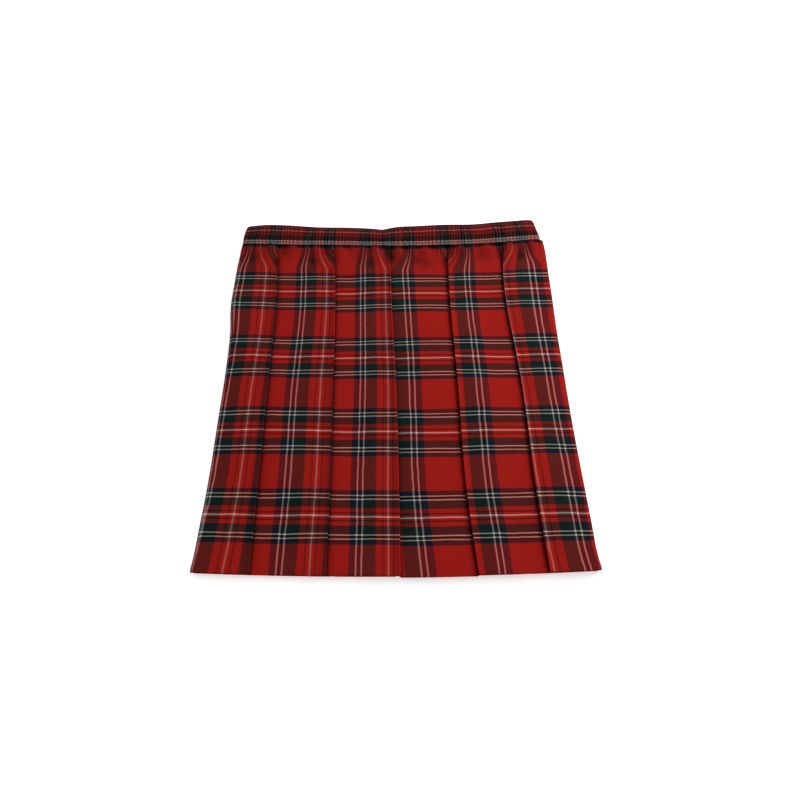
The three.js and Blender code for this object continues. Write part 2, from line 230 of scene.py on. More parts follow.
def pleated_line(y, opened=0.0):
    """x, z, u, face and painted shade of the points of the line at y."""
    left, right = row_facts(y)[2:4]
    folds = [(d + (SHALLOW - d) * opened, float(soft(FOLD_Y, places, y)), gap)
             for _, d, places, gap in FRONT_FOLDS]
    lying = 1 - 0.9 * opened       # an edge no longer curls where its pleat opens
    x, z, u, face, shade = [], [], [], [], []

    def put(xs, zs, us, kind=HIDDEN, dark=0.0):
        n = max(np.size(a) for a in (xs, zs, us))
        for store, value in ((x, xs), (z, zs), (u, us), (face, kind), (shade, dark)):
            store.extend(np.broadcast_to(value, n))

    def turn(edge, z0, z1, facing, u0, u1, lift=0.0):
        angle = np.linspace(0, math.pi, 7)
        put(edge - facing * TURN * (1 - np.sin(angle)),
            (z0 + z1) / 2 + (z0 - z1) / 2 * np.cos(angle) + lift, np.linspace(u0, u1, 7))

    def stand_off(xs, fold):
        """The fold's edge curls up a little, and the cloth under it sinks."""
        return 0.5 * lying * folds[fold][2] * bump(xs, folds[fold][1], 2.2)

    def sink(xs, fold):
        return 1.2 * lying * folds[fold][2] * bump(xs, folds[fold][1], 1.7)

    def gap_shade(xs, fold):
        """Painted shade in the gap beside an edge, where next to no light gets deep."""
        away = np.abs(xs - folds[fold][1])
        softer = 1 - 0.5 * float(step(40, 150, y))
        deep = softer * min(1.0, 1.15 * folds[fold][2]) * (1 - step(0.3, 1.6, away))
        return np.maximum(deep, 0.2 * (1 - step(1.0, 7.0, away)))

    def rolled_edge_shade(xs, fold):
        """Painted shade: a face is darker near its own fold, where the real cloth rolls away from
        the light.
        """
        return 0.3 * (1 - step(0.5, 9.0, np.abs(xs - folds[fold][1])))

    def hidden(fold, order, u0, u1):
        """The two layers under a fold, from the outer one or from the inner one."""
        depth, edge, _ = folds[fold]
        facing = FRONT_FOLDS[fold][0]
        near, far, half = edge - facing * TURN, edge - facing * (depth - TURN), (u0 + u1) / 2
        t = spread(11)
        upper, lower = near + (far - near) * t, far + (edge - far) * t
        layers = [(upper, FRONT_MID + stand_off(upper, fold), u0 + (half - u0) * t, 0.0),
                  (lower, FRONT_IN - sink(lower, fold), half + (u1 - half) * t, IN_FOLD_SHADE)]
        heights, way = (FRONT_MID, FRONT_IN), 1
        if order == "inner first":
            layers, heights, way = layers[::-1], heights[::-1], -1
        for number, (*line, dark) in enumerate(layers):
            if number == 1:
                turn(edge - facing * depth, *heights, -facing, half + 0.5, half - 0.5)
            put(*(a[::way] for a in line), HIDDEN, dark)

    def face_over(x0, x1, fold, under, u0, u1, n, kind):
        """A face that starts high over its own fold at x0 and comes down on the way to x1."""
        t = spread(n)
        xs = x0 + (x1 - x0) * t
        past = np.abs(xs - x0) - folds[fold][0]
        zs = FRONT_OUT + (FRONT_IN - FRONT_OUT) * step(-4, 16, past) + 0.3 * np.sin(np.pi * t)
        zs = zs + stand_off(xs, fold)
        # the shade put here is painted shade: near this face's own fold, and in the gap beside
        # the fold under it
        if under is None:
            put(xs, zs, u0 + (u1 - u0) * t, kind, rolled_edge_shade(xs, fold))
        else:
            put(xs, zs - sink(xs, under), u0 + (u1 - u0) * t, kind,
                np.maximum(gap_shade(xs, under), rolled_edge_shade(xs, fold)))

    # left half of the front, from the seam at the edge of the middle pleat
    for i in (2, 1, 0):
        _, edge, gap = folds[i]
        u_edge = FACE_U[i][1]
        if i < 2:
            hidden(i, "inner first", u_edge + 1, FACE_U[i + 1][0])
        turn(edge, FRONT_MID, FRONT_OUT, 1, u_edge + 1, u_edge - 1, 0.8 * lying * gap)
        end = folds[i - 1][1] if i else left + SIDE_REACH
        face_over(edge - TURN, end, i, i - 1 if i else None, u_edge - 1,
                  FACE_U[i][0] + (0 if i else 3), WIDE if i else NARROW, i + 1)

    def side(edge, inward, z0, z1, u0, u1):
        angle = np.linspace(0, math.pi, 9)[1:-1]
        put(edge + inward * SIDE_REACH * (1 - np.sin(angle)),
            (z0 + z1) / 2 + (z0 - z1) / 2 * np.cos(angle), np.linspace(u0, u1, 7), SIDE)

    def layer(x0, x1, z, u0, u1):
        t = spread(8)
        put(x0 + (x1 - x0) * t, z, u0 + (u1 - u0) * t)

    u_left, u_right = FACE_U[0][0] - 3, FACE_U[5][1] - ROUND + 3
    side(left, 1, FRONT_IN, BACK_OUT, u_left + 6, u_left)

    # back, left to right: what shows has the true width, the hidden layers take the rest
    back = [(s, d + (SHALLOW - d) * opened, float(soft(FOLD_Y, places, y)))
            for s, d, places in BACK_FOLDS]
    shown = right - left - 2 * SIDE_REACH
    taken = (u_left - u_right - shown) / len(back)
    at, spot, raised, t = u_left, left + SIDE_REACH, 0, spread(18)
    for facing, depth, edge in back:
        here = at - (edge - spot)
        middle, end = here - taken / 2, here - taken
        reach = edge - TURN if facing > 0 else edge
        xs = spot + (reach - spot) * t
        high = np.maximum((1 - step(1, 7, xs - spot)) * raised,
                          step(-7, -1, xs - edge) * (facing < 0))
        put(xs, BACK_OUT + (BACK_IN - BACK_OUT) * high, at + (here - at) * t, BACK)
        near, far = edge - facing * TURN, edge - facing * (depth - TURN)
        if facing > 0:
            turn(edge, BACK_OUT, BACK_MID, 1, here, here - 2)
            layer(near, far, BACK_MID, here - 2, middle)
            turn(edge - depth, BACK_MID, BACK_IN, -1, middle, middle - 2)
            layer(far, edge, BACK_IN, middle - 2, end)
        else:
            layer(edge, far, BACK_IN, here, middle + 2)
            turn(edge + depth, BACK_IN, BACK_MID, 1, middle + 2, middle)
            layer(far, near, BACK_MID, middle, end + 2)
            turn(edge, BACK_MID, BACK_OUT, -1, end + 2, end)
        at, spot, raised = end, edge + (TURN if facing < 0 else 0), facing > 0
    put(spot + (right - SIDE_REACH - spot) * t, BACK_OUT, at + (u_right - at) * t, BACK)
    side(right, -1, BACK_OUT, FRONT_IN, u_right, u_right - 6)

    # right half of the front, from the right edge home to the seam
    for i in (4, 3):
        depth, edge, gap = folds[i]
        u0, u1 = FACE_U[i + 1][1] - ROUND - (3 if i == 4 else 0), FACE_U[i + 1][0] - ROUND
        start = right - SIDE_REACH if i == 4 else folds[i + 1][1]
        t = spread(NARROW if i == 4 else WIDE)
        xs = start + (edge + TURN - start) * t
        zs = FRONT_OUT + (FRONT_IN - FRONT_OUT) * step(-4, 16, xs - edge - depth)
        zs = zs + 0.3 * np.sin(np.pi * t) + stand_off(xs, i)
        if i == 4:
            put(xs, zs, u0 + (u1 + 1 - u0) * t, 6)
        else:
            put(xs, zs - sink(xs, 4), u0 + (u1 + 1 - u0) * t, 5, gap_shade(xs, 4))
        turn(edge, FRONT_OUT, FRONT_MID, -1, u1 + 1, u1 - 1, 0.8 * lying * gap)
        hidden(i, "outer first", u1 - 1, FACE_U[i][1] - ROUND)
    start, edge, t = folds[3][1], folds[2][1], spread(WIDE)
    xs = start + (edge - start) * t
    put(xs, FRONT_IN + 0.5 * np.sin(np.pi * t) - sink(xs, 3) - sink(xs, 2),
        FACE_U[3][1] - ROUND + (FACE_U[3][0] - FACE_U[3][1]) * t, 4,
        np.maximum(gap_shade(xs, 3), gap_shade(xs, 2)))
    hidden(2, "inner first", SEAM_U[1] - ROUND, FACE_U[3][0] - ROUND)
    return (np.array(a, float) for a in (x, z, u, face, shade))


trial = list(pleated_line(0.0))
print("points once round:", len(trial[0]))
print("the cloth only goes on:", bool((np.diff(trial[2]) < 0.01).all()))

# %% [markdown]
# ## From pleats to gathers
# The casing isn't pleated: the elastic gathers the whole width evenly. So in the last 36 mm each
# fold gets shallower while its edge stays where it is, and the cloth slides through the fold
# until almost none is hidden. That is why the stripes bend there and the edges don't. Gathers,
# soft ridges and hollows run down from the stitches and die out.

# %% Gathers, ridges and the lie of the cloth
rng = np.random.default_rng(7)
GATHER_PITCH = 2.9             # from one gather to the next
GATHER_REACH = 9.0             # how fast the gathers die out below the stitches
drift = list(zip(rng.uniform(0.7, 1.3, 5), rng.uniform(14, 60, 5), rng.uniform(0, 6.28, 5)))
FOOT = 35                      # how far below the stitches a ridge's second x is
RIDGES = [   # x at the stitches, x at the foot, height, half width, reach down
    (-127, -131, 1.3, 3.4, 30), (-119, -119, 0.9, 2.8, 18), (-110, -107, 1.5, 3.8, 34),
    (-99, -92, -1.2, 3.6, 26), (-90, -88, 1.3, 4.4, 30), (-78, -80, 1.0, 2.6, 22),
    (-70, -68, 1.4, 3.6, 36), (-61, -57, -1.3, 3.4, 26), (-50, -45, 1.2, 4.6, 30),
    (-38, -37, 0.8, 2.8, 20), (-30, -30, 1.3, 3.8, 34), (-19, -14, 1.5, 3.4, 28),
    (-8, -5, -1.4, 3.2, 26), (2, 6, 1.3, 3.6, 30), (14, 12, 1.0, 3.2, 20),
    (25, 27, 1.4, 4.6, 34), (39, 37, 0.9, 3.0, 22), (47, 45, -1.4, 3.4, 28),
    (56, 58, 1.5, 3.6, 36), (67, 68, 0.8, 3.2, 18), (78, 76, 1.3, 4.4, 30),
    (90, 88, -1.3, 3.4, 28), (98, 97, 1.3, 3.4, 32), (108, 107, 0.9, 2.8, 20),
    (117, 120, 1.3, 3.6, 30)]


def gather(x):
    """Uneven gathers, from -1 in a furrow to 1 on a ridge."""
    phase = x / GATHER_PITCH + sum(0.3 * a * np.sin(x / b * 3 + c) for a, b, c in drift)
    size = 0.7 + 0.3 * np.sin(x / 5.3 + 1.0) * np.sin(x / 17.0)
    return (2 * np.abs(np.cos(np.pi * phase)) ** 0.9 - 1) * size


def lie(x, y):
    """Slow waves of the laid cloth."""
    return (0.35 * np.sin(x / 23 + y / 61) + 0.3 * np.sin(x / 37 - y / 43 + 2)
            + 0.2 * np.sin(x / 13 + y / 31 + 4))


HOLLOWS = [   # x, mm below the stitches, half width, half height, depth
    (-123.2, 19, 3.6, 9, 0.9), (-102.6, 23, 3.2, 13, 0.8), (-82.4, 19, 3.2, 8, 0.4),
    (-70.9, 22, 4.0, 8, 1.1), (-53.3, 18, 3.2, 12, 0.8), (-31.8, 23, 3.0, 8, 0.4),
    (-22.4, 25, 4.2, 8, 0.9), (-5.2, 16, 4.6, 10, 1.1), (17.0, 17, 5.4, 8, 0.5),
    (25.0, 24, 6.0, 9, 0.5), (42.0, 22, 3.2, 13, 0.8), (55.7, 13, 3.4, 8, 0.7),
    (76.3, 16, 7.0, 8, 0.5), (90.9, 24, 3.2, 13, 0.9), (106.3, 20, 3.8, 9, 0.9),
    (117.5, 13, 2.8, 7, 0.4)]


def hollows(x, below):
    return sum(depth * bump(x, middle, wide) * bump(below, down, high)
               for middle, down, wide, high, depth in HOLLOWS)


def ridges(x, y):
    """How far the front rises or sinks below the casing."""
    below = np.maximum(0, stitch_line(x) - y)
    total = 0.5 * gather(x) * np.exp(-below / GATHER_REACH)
    for top, low, height, width, reach in RIDGES:
        middle = top + (low - top) * below / FOOT
        sewn = 1 if height > 0 else step(-2, 10, below)   # the stitches hold a hollow up
        total += (1.4 * height * bump(x, middle, width * (1 + below / 60))
                  * (1 - step(2, reach, below)) * sewn)
    return total - 1.3 * hollows(x, below)


def pucker_shade(x, y, level):
    """Painted shade in the hollows and dips of the front, under the casing's edge, in the furrows
    and in a broad band just below the casing.
    """
    below = np.maximum(0, stitch_line(x) - y)
    # each term is painted shade: under the casing's edge, in the gathers' furrows, in the dips
    # between ridges, in the hollows, and darker just below the casing
    under_edge_shade = 0.3 * bump(below, 0, 1.6)
    furrow = 0.85 * (1 - gather(x)) / 2 * np.exp(-below / GATHER_REACH)
    folds = 0.4 * np.clip(-ridges(x, y) / 1.6, 0, 1) * (1 - step(16, 38, below))
    turned_away_shade = 0.08 * (1 - step(15, 60, below))
    shade = level * (0.52 * hollows(x, below) + folds + turned_away_shade)
    return np.clip(shade + under_edge_shade + furrow, 0, 0.8)


# %% [markdown]
# ## The skirt's cloth
# Now every row is placed. On the front the ridges lift all layers together, so that no layer
# cuts another. The lines of checks step a little where one face lies over the next, because
# the hand that laid the skirt out didn't line them up. The last rows are eased in under the
# casing, so the checks there lie a little closer.

# %% Rows of the skirt
STATION_Y = [-205, -180, -118, -68, -27, 14, 67, 99, 125]
FACE_STEP = {
    1: [0.5, 0.5, 0.4, 0.3, 0.9, 1.5, 1.3, 1.1, 0.8],
    2: [0.4, 0.4, 0.4, 0.3, 0.7, 1.0, 1.5, 1.7, 1.2],
    3: [-0.2, -0.2, -0.2, -0.2, -0.4, -0.7, -0.9, -1.1, -0.9],
    4: [-1.0, -1.0, -1.0, -1.1, -1.2, -1.4, -1.8, -2.1, -1.8],
    5: [-0.2, -0.2, -0.1, 0.0, -0.1, -0.2, -0.9, -1.3, -1.2],
    6: [0.0, 0.0, 0.2, 0.4, 0.7, 1.0, 0.6, 0.3, 0.0],
    BACK: [0.0] * 9, SIDE: [0.2] * 9}
FACE_SLIDE = {  # and how far they lie to the right: the folds aren't quite along a thread
    1: [-0.9, -0.1, 1.7, 1.8, 2.0, 3.0, 4.3, 4.6, 4.9],
    2: [0.2, 0.5, 1.45, 1.4, 1.5, 2.4, 3.7, 4.0, 4.2],
    3: [1.6, 1.7, 1.75, 2.5, 3.3, 3.8, 4.3, 4.7, 5.0],
    4: [4.8, 3.9, 2.1, 2.2, 2.4, 2.7, 3.0, 2.6, 2.2],
    5: [-0.2, 0.0, -0.35, -0.3, -0.3, -0.1, 0.2, 0.1, 0.0],
    6: [1.0, 0.2, 0.0, -0.7, -1.5, -1.6, -1.8, -1.9, -2.0],
    BACK: [0.0] * 9, SIDE: [0.0] * 9}
OPENS_FROM = 128               # from here up the pleats open
MOST_OPEN = 0.94               # and so far they have opened at the stitches
CLOSED = 0.6                   # share of their distance that the layers keep at the casing
BACK_FLAT, FRONT_FLAT = 0.95, 5.0   # heights of the middle layers there


def of_face(table, y, u, face):
    """What a table says for each face at y, with the folds blended from face to face."""
    known = face > HIDDEN
    values = np.array([float(soft(STATION_Y, table[int(f)], y)) for f in face[known]])
    return np.interp(-u, -u[known], values)


def cloth_y(row_y, x, u_shift, open_share):
    """A row's own height at x: tilted, sagging, and pulled into line by the casing."""
    tilt, sag, left, right, pull = row_facts(row_y)
    s = (x - (left + right) / 2) / ((right - left) / 2)
    free = row_y + tilt * s + sag * s * s + u_shift * (1 - open_share)
    pulled = row_y - STITCH_Y + stitch_line(x) - 0.4
    return free + (pulled - free) * pull


def ring(place, left, right, front, back, reach):
    """x and height of the places of a flat loop round the waist, with rounded sides."""
    width = right - left
    p = place / WAIST_ROUND * 2 * width
    side_l, side_r = SEAM_X - left, SEAM_X - left + width
    t = np.where(p < (side_l + side_r) / 2, p - side_l, side_r - p)
    t = np.where(p > 2 * width, left - SEAM_X, t)
    middle, half = (front + back) / 2, (front - back) / 2
    arc = np.clip(t / (1.4 * reach), -1, 1)
    inset = reach * (1 - np.cos(arc * math.pi / 2))
    along = inset + np.maximum(0, np.abs(t) - 1.4 * reach)
    x = np.where(p < (side_l + side_r) / 2, left + along, right - along)
    return x, middle - half * np.sin(arc * math.pi / 2)


def skirt_rows():
    """The rows' heights, points, places across the cloth, kinds of face and painted shade. Rows
    are close together at the hem and below the casing, where the cloth bends most."""
    ys = np.concatenate([HEM_Y + np.array([0.0, 0.8, 2.2, 4.2, 6.2]), np.linspace(-196, 116, 28),
                         np.linspace(118.5, STITCH_Y + 1.2, 28)])
    rows, uses, shades = [], [], []
    for y in ys:
        share = float(step(OPENS_FROM, STITCH_Y + 1.0, y))
        x, z, u, face, shade = pleated_line(y, MOST_OPEN * share)
        left, right = row_facts(y)[2:4]
        # the cloth slides sideways until each thread is where the gathers hold it
        shown = (face > HIDDEN) & (face < SIDE)
        slid = np.interp(-u, -u[shown], (cloth_above(x, face, left, right) - u)[shown])
        # and the layers come closer together
        flat = np.where(z < 2.6, BACK_FLAT + CLOSED * (z - BACK_MID),
                        FRONT_FLAT + CLOSED * (z - FRONT_MID))
        flat = np.where(face == SIDE, 0.53 + (z - BACK_OUT) * 0.89, flat)
        z = z + (flat - z) * MOST_OPEN * share
        # the painted shade in the gaps fades where pleats open, and the side edges stay on their
        # own line
        shade_fade = np.where(x < 10, 0.85, 0.6) * share
        shift = of_face(FACE_STEP, y, u, face)
        for edge, wanted in ((x.min(), left), (x.max(), right)):
            x += (wanted - edge) * step(30, 0, np.abs(x - edge))
        # level is 1 in front and 0 in the back. Outer layers hang lower, tucked ones end higher
        cy = cloth_y(y, x, shift, share)
        level = step(2.4, 4.2, z)
        cy = cy - 0.6 * level * (1 - share) * (z - 5.6)
        tucked = (face == HIDDEN) * (1 - share) * step(HEM_Y + 20, HEM_Y, y)
        cy = cy + 1.3 * tucked * level
        # puckers in front, simple gathers behind, and the back's hem further up
        z = z + level * (lie(x, cy) + ridges(x, cy))
        z = z + (1 - level) * share * 0.4 * (1 + gather(x)) * np.exp(-(stitch_line(x) - cy) / 6)
        cy = cy + BACK_HEM_LIFT * (1 - level) * step(HEM_Y + 25, HEM_Y, y)
        rows.append(np.stack([x, cy, z], 1))
        uses.append(u - of_face(FACE_SLIDE, y, u, face) * (1 - share) + slid * share)
        shades.append(np.maximum(shade * (1 - shade_fade), pucker_shade(x, cy, level)))
    return ys, np.array(rows), np.array(uses), face, np.array(shades)


ys, rows, strip_u, strip_face, strip_shade = skirt_rows()
up_cloth = ys - PATTERN_Y - 4.0 * step(110, STITCH_Y, ys)
print("skirt cloth:", rows.shape[0], "rows of", rows.shape[1], "points; lowest",
      round(rows[..., 2].min(), 2), "mm")


# %% [markdown]
# ## A strip becomes a mesh
# The strip closes to a tube at the seam. There the mesh shares its points, and only the cloth
# coordinates jump, because a UV belongs to a corner of a face and not to a point. Two numbers
# ride on each point for the material: "shade" is painted shade, which darkens the colour where
# little light gets, and "drawn up" says how far the gathers hide the warp, whose pale lines are
# painted darker there. A Solidify modifier then gives the cloth its thickness, more of it at the
# turned hem.

# %% Strip to mesh
def cloth_piece(name, grid, us, end_u, vs, shade, drawn, thick, extra=None):
    """grid is rows of points once round in millimetres. us are their places across the
    cloth, and end_u is the last step, to the seam."""
    count, width = grid.shape[:2]
    mesh = bpy.data.meshes.new(name)
    j, i = np.meshgrid(np.arange(count - 1), np.arange(width), indexing="ij")
    k = (i + 1) % width
    quads = np.stack([j * width + i, (j + 1) * width + i, (j + 1) * width + k, j * width + k], -1)
    us = np.broadcast_to(us, (count, width))
    mesh.from_pydata(((grid.reshape(-1, 3) + SHIFT) * MM).tolist(), [],
                     quads.reshape(-1, 4).tolist())
    u_next = np.concatenate([us[:, 1:], us[:, -1:] + end_u], 1)
    uv = np.empty((count - 1, width, 4, 2))
    uv[..., 0] = np.stack([us[:-1], us[1:], u_next[1:], u_next[:-1]], -1)
    v0, v1 = vs[:-1, None], vs[1:, None]
    uv[..., 1] = np.stack(np.broadcast_arrays(v0, v1, v1, v0), -1)
    mesh.uv_layers.new(name="cloth").uv.foreach_set(
        "vector", (uv.reshape(-1) * MM).astype(np.float32))
    for label, field in (("shade", shade), ("drawn up", drawn)):
        mesh.attributes.new(label, "FLOAT", "POINT").data.foreach_set("value", np.clip(
            np.broadcast_to(field, (count, width)), 0, 1).reshape(-1).astype(np.float32))
    mesh.polygons.foreach_set("use_smooth", np.ones(len(mesh.polygons), bool))
    piece = bpy.data.objects.new(name, mesh)
    scene.collection.objects.link(piece)
    wall = piece.modifiers.new("thickness of the cloth", "SOLIDIFY")
    wall.thickness, wall.offset = thick * MM, 0.0
    if extra is not None:
        group = piece.vertex_groups.new(name="thick")
        for share in np.unique(extra):
            group.add(np.flatnonzero(extra == share).tolist(), float(share), "REPLACE")
        wall.vertex_group, wall.thickness_vertex_group = "thick", 0.0
    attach(piece, "root")
    return piece


thick_rows = np.where(ys < HEM_Y + 5, 1.0, TWILL / HEM_TWILL)
skirt = cloth_piece("skirt_cloth", rows, strip_u, -0.3, up_cloth, strip_shade,
                    step(134, STITCH_Y, ys)[:, None], HEM_TWILL,
                    np.repeat(thick_rows, rows.shape[1]))
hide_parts("skirt_body")
print("skirt faces:", len(skirt.data.polygons))


# %% [markdown]
# ## The waist casing
# The top of the same cloth goes up over the elastic, turns inwards and comes down again to its
# line of stitches. So each half of the casing has an outer and an inner layer, and both are
# crinkled by the gathers.

# %% Casing
OUTER = [   # share of the way up, heights of front and back, height of the crinkle
    (0.0, 5.75, 0.9, 0.35), (0.04, 6.1, 0.7, 0.45), (0.12, 6.75, 0.5, 0.6),
    (0.24, 7.25, 0.35, 0.65), (0.4, 7.55, 0.3, 0.65), (0.56, 7.6, 0.3, 0.6),
    (0.72, 7.4, 0.3, 0.5), (0.85, 7.0, 0.45, 0.35), (0.94, 6.5, 0.65, 0.2),
    (1.0, 6.0, 0.9, 0.12)]
INNER = [   # the same, on the way down again inside
    (1.0, 4.85, 2.4, 0.3), (0.9, 4.85, 2.3, 0.8), (0.65, 4.9, 2.3, 0.95),
    (0.35, 4.9, 2.3, 0.95), (0.15, 4.85, 2.3, 0.8), (0.09, 4.8, 2.3, 0.5)]
OUTER_CLOTH, TOP_CLOTH, INNER_CLOTH = 34.2, 2, 30.0   # lengths on the checks' own scale
CRINKLE = 1.08                 # all crinkles are this many times the tables' height
ROUNDING = 3.0                 # how far in the outer layer's sides are round
CASING_ENDS = np.array([       # y, left end, right end
    [167, -134.0, 127.0], [183, -133.6, 125.6], [196, -132.7, 123.4], [205, -132.4, 122.6]])


def casing_rows():
    place = np.linspace(0, WAIST_ROUND, 1501)[:-1]
    rows, vs, v = [], [], up_cloth[-1] - 0.9     # the casing starts just below the last row
    for up, front, back, amount in OUTER:
        rows.append(casing_ring(place, up, front, back, amount, 0.0, ROUNDING))
        vs.append(v + up * OUTER_CLOTH)
    top = vs[-1]
    for angle in np.radians((45, 90, 135)):
        mix = (1 - math.cos(angle)) / 2
        front, back = (OUTER[-1][k] + (INNER[0][k] - OUTER[-1][k]) * mix for k in (1, 2))
        rows.append(casing_ring(place, 1.0, front, back, 0.15, 0.9 * math.sin(angle),
                                ROUNDING - 0.9 * mix))
        vs.append(top + TOP_CLOTH * mix)
    for up, front, back, amount in INNER:
        rows.append(casing_ring(place, up, front, back, amount, 0.0, 2.0))
        vs.append(top + TOP_CLOTH + (1 - up) * INNER_CLOTH)
    return np.array(rows), cloth_at(place), np.array(vs)


def casing_ring(place, up, front, back, amount, rise, reach):
    """One loop of the casing: crinkled in front and behind, and round at its sides."""
    def end(k, x):
        y = stitch_line(x) * (1 - up) + top_edge(x) * up
        return float(soft(CASING_ENDS[:, 0], CASING_ENDS[:, k], y))

    inset = ROUNDING - reach
    left, right = end(1, CASING_LEFT) + inset, end(2, CASING_RIGHT) - inset
    x, z = ring(place, left, right, front, back, reach)
    behind = np.clip((front - z) / (front - back), 0, 1)
    low, high, amount = stitch_line(x), top_edge(x), amount * CRINKLE
    furrow = gather(x) * amount
    crinkle = furrow * (1 - behind) + 0.9 * (furrow + amount) * behind
    y = low + (high - 1.5 * behind - low) * up + rise
    return np.stack([x, y, z + crinkle], 1)


band, band_u, band_v = casing_rows()
row = np.arange(len(band))[:, None]
# painted shade on the casing: darker from the stitched edge upwards, in the furrows of the
# gathers and right at the stitched edge
row_shade = np.interp(row, [0, 2, 5], [0.10, 0.14, 0.26])
furrow_shade = (1 - gather(band[..., 0])) / 2 * np.interp(row, [0, 2, 5], [0.3, 0.4, 0.6])
casing = cloth_piece("casing_cloth", band, band_u, -0.5, band_v,
                     row_shade + furrow_shade + 0.3 * bump(row, 0, 0.8), 1.0, CASING_TWILL)
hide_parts("waist_casing")
print("casing:", band.shape[0], "loops of", band.shape[1], "points; lowest",
      round(band[..., 2].min(), 2), "mm, highest", round(band[..., 2].max(), 2), "mm")

# %% [markdown]
# ## Stitches
# One row of machine stitches holds the narrow turned hem, another holds the casing. A stitch is
# a short thread that dives into the cloth at both ends, so each is a small bent tube that
# follows the cloth. Only faces that show get them: the ones inside a fold would never be seen.

# %% Threads
UP = np.array((0.0, 0.0, 1.0))


def threads(name, lines, length, gap, radius, rise):
    """lines holds pairs: points along the cloth, and the side that the thread lies on."""
    points, quads, sides, rings = [], [], 6, 6
    turns = np.arange(sides) * 2 * math.pi / sides
    for line, side in lines:
        way = np.append(0, np.cumsum(np.linalg.norm(np.diff(line, axis=0), axis=1)))
        for start in np.arange(gap, way[-1] - length, length + gap):
            at = start + length * np.linspace(0, 1, rings)
            core = np.stack([np.interp(at, way, line[:, k]) for k in range(3)], 1)
            core[:, 2] += side * (rise * np.sin(np.linspace(0, math.pi, rings)) - 0.5 * radius)
            along = np.gradient(core, axis=0)
            across = np.cross(along, UP)
            across /= np.linalg.norm(across, axis=1)[:, None]
            first = len(points)
            for k, (middle, way_out) in enumerate(zip(core, across)):
                fat = radius * (0.45 if k in (0, rings - 1) else 1.0)
                points += [middle + fat * (math.cos(a) * way_out + math.sin(a) * UP)
                           for a in turns]
            for k in range(rings - 1):
                for m in range(sides):
                    a, b = first + k * sides + m, first + k * sides + (m + 1) % sides
                    quads.append((a, b, b + sides, a + sides))
            quads += [tuple(first + m for m in reversed(range(sides))),
                      tuple(first + (rings - 1) * sides + m for m in range(sides))]
    mesh = bpy.data.meshes.new(name)
    mesh.from_pydata(((np.array(points) + SHIFT) * MM).tolist(), [], quads)
    mesh.polygons.foreach_set("use_smooth", np.ones(len(mesh.polygons), bool))
    piece = bpy.data.objects.new(name, mesh)
    scene.collection.objects.link(piece)
    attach(piece, "root")
    print(name, "faces:", len(quads))
    return piece


def runs(mask):
    """The stretches of a row where mask holds, as index arrays."""
    at = np.flatnonzero(mask)
    return [r for r in np.split(at, np.flatnonzero(np.diff(at) > 1) + 1) if len(r) > 4]


hem_row = rows[3]
in_front = (strip_face > HIDDEN) & (strip_face < BACK)
hem_lines = [(hem_row[r] + 0.24 * UP, 1) for r in runs(in_front)]
hem_lines += [(hem_row[r] - 0.18 * UP, -1) for r in runs(strip_face == BACK)]
hem_thread = threads("hem_stitches", hem_lines, 2.4, 0.7, 0.13, 0.12)

low = band[1]
casing_lines = [(low[r] + (0, 0.8, 0.3), 1) for r in runs(low[:, 2] > 4.0)]
casing_lines += [(low[r] + (0, 0.8, -0.2), -1) for r in runs(low[:, 2] < 1.8)]
casing_thread = threads("casing_stitches", casing_lines, 2.2, 0.6, 0.13, 0.1)

# %% [markdown]
# ## Shader maths as plain expressions
# A material is a sum in nodes. This small class wraps a socket, so that the sum can be written
# as Python writes it, and each sign adds its Math node.


# %% A socket that counts
class Value:
    tree = None

    def __init__(self, socket):
        self.socket = socket

    @classmethod
    def node(cls, kind, settings=None, sockets=None, out=0):
        node = cls.tree.nodes.new(kind)
        for key, value in (settings or {}).items():
            if key == "stops":
                ramp = node.color_ramp
                while len(ramp.elements) < len(value):
                    ramp.elements.new(0.5)
                for element, (at, colour) in zip(ramp.elements, value):
                    element.position, element.color = at, (*colour, 1.0)
            else:
                setattr(node, key, value)
        for key, value in (sockets or {}).items():
            if isinstance(value, Value):
                cls.tree.links.new(value.socket, node.inputs[key])
            else:
                node.inputs[key].default_value = value
        return cls(node.outputs[out]) if node.outputs else None

    def math(self, operation, *others):
        return Value.node("ShaderNodeMath", {"operation": operation},
                          dict(enumerate((self, *others))))

    def __add__(self, other): return self.math("ADD", other)
    def __radd__(self, other): return self.math("ADD", other)
    def __sub__(self, other): return self.math("SUBTRACT", other)
    def __rsub__(self, other): return (self * -1.0).math("ADD", other)
    def __mul__(self, other): return self.math("MULTIPLY", other)
    def __rmul__(self, other): return self.math("MULTIPLY", other)
    def __truediv__(self, other): return self.math("DIVIDE", other)

    def between(self, low, high):
        return Value.node("ShaderNodeMapRange", {"interpolation_type": "SMOOTHSTEP"},
                          {"Value": self, "From Min": low, "From Max": high})


def mixed(share, a, b):
    return Value.node("ShaderNodeMix", {"data_type": "RGBA"}, {0: share, 6: a, 7: b}, out=2)


def flat_noise(at, scale, detail):
    return Value.node("ShaderNodeTexNoise", {"noise_dimensions": "2D"},
                      {"Vector": at, "Scale": scale, "Detail": detail})


def wave(along, length):
    return (along * (2 * math.pi / length)).math("SINE")


def material(name):
    made = bpy.data.materials.new(name)
    made.use_nodes = True
    made.node_tree.nodes.clear()
    Value.tree = made.node_tree
    return made


print("Value works on", Value.node.__name__, "and on + - * /")
